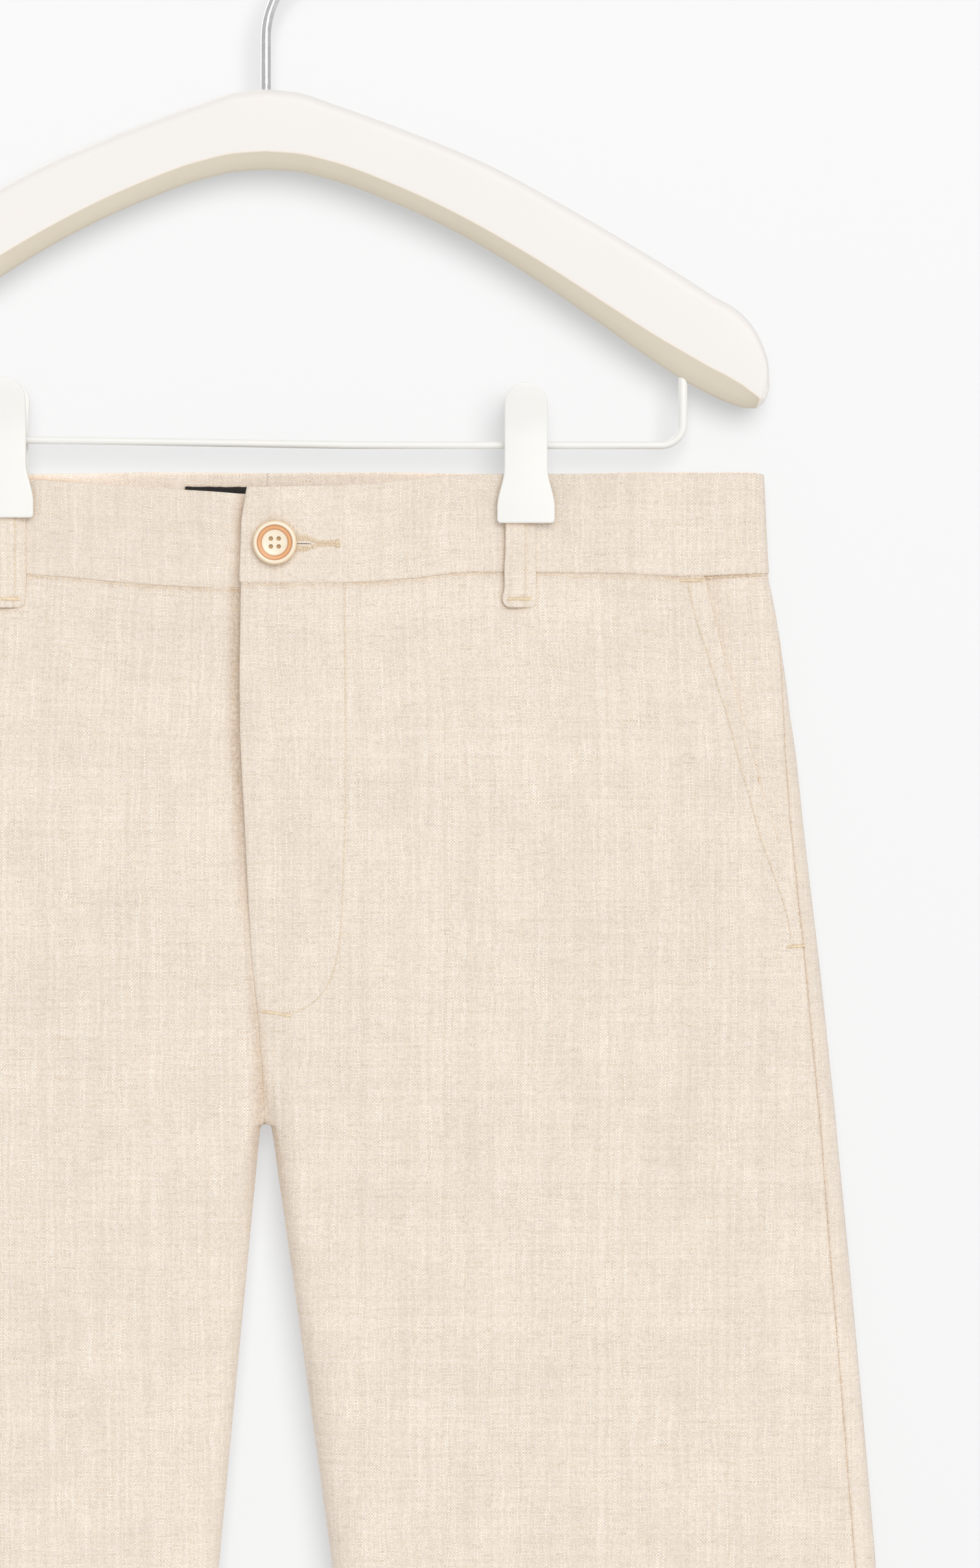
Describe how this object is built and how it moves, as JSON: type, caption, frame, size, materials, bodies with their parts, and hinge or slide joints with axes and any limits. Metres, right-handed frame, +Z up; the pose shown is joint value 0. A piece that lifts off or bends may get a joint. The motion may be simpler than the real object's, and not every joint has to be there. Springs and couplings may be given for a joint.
{
  "type": "bermuda shorts on a clip hanger",
  "caption": "Linen bermuda shorts with a buttoned waistband, fly, slanted pockets and belt loops, hung by the waist from a white hanger's clips.",
  "frame": {"origin": "where a rod carries the hook: the top of the hook's inner curve", "axes": "+Z up, +X to the viewer's right, which is the wearer's left, and the front of the shorts faces -Y"},
  "size_m": [0.5105, 0.0318, 0.7543],
  "materials": {
    "linen": "undyed and off-white linen yarns in a plain weave",
    "label": "black woven label",
    "button": "cream and tan horn-like button",
    "hanger_paint": "wood painted satin white",
    "white_metal": "white powder coat",
    "bright_metal": "bright plated steel"
  },
  "bodies": {
    "root": {"front_left": "linen", "front_right": "linen", "back_left": "linen", "back_right": "linen", "pocket_facing_left": "linen", "pocket_facing_right": "linen", "fly_shield": "linen", "waistband_left": "linen", "waistband_right": "linen", "belt_loop_front_left": "linen", "belt_loop_front_right": "linen", "belt_loop_back_left": "linen", "belt_loop_back_right": "linen", "belt_loop_back_middle": "linen", "waist_label": "label", "button": "button", "hanger_body": "hanger_paint", "hook": "bright_metal", "trouser_bar": "white_metal", "clip_left_front": "white_metal", "clip_left_back": "white_metal", "clip_left_sleeve": "bright_metal", "clip_right_front": "white_metal", "clip_right_back": "white_metal", "clip_right_sleeve": "bright_metal"}
  },
  "joints": []
}
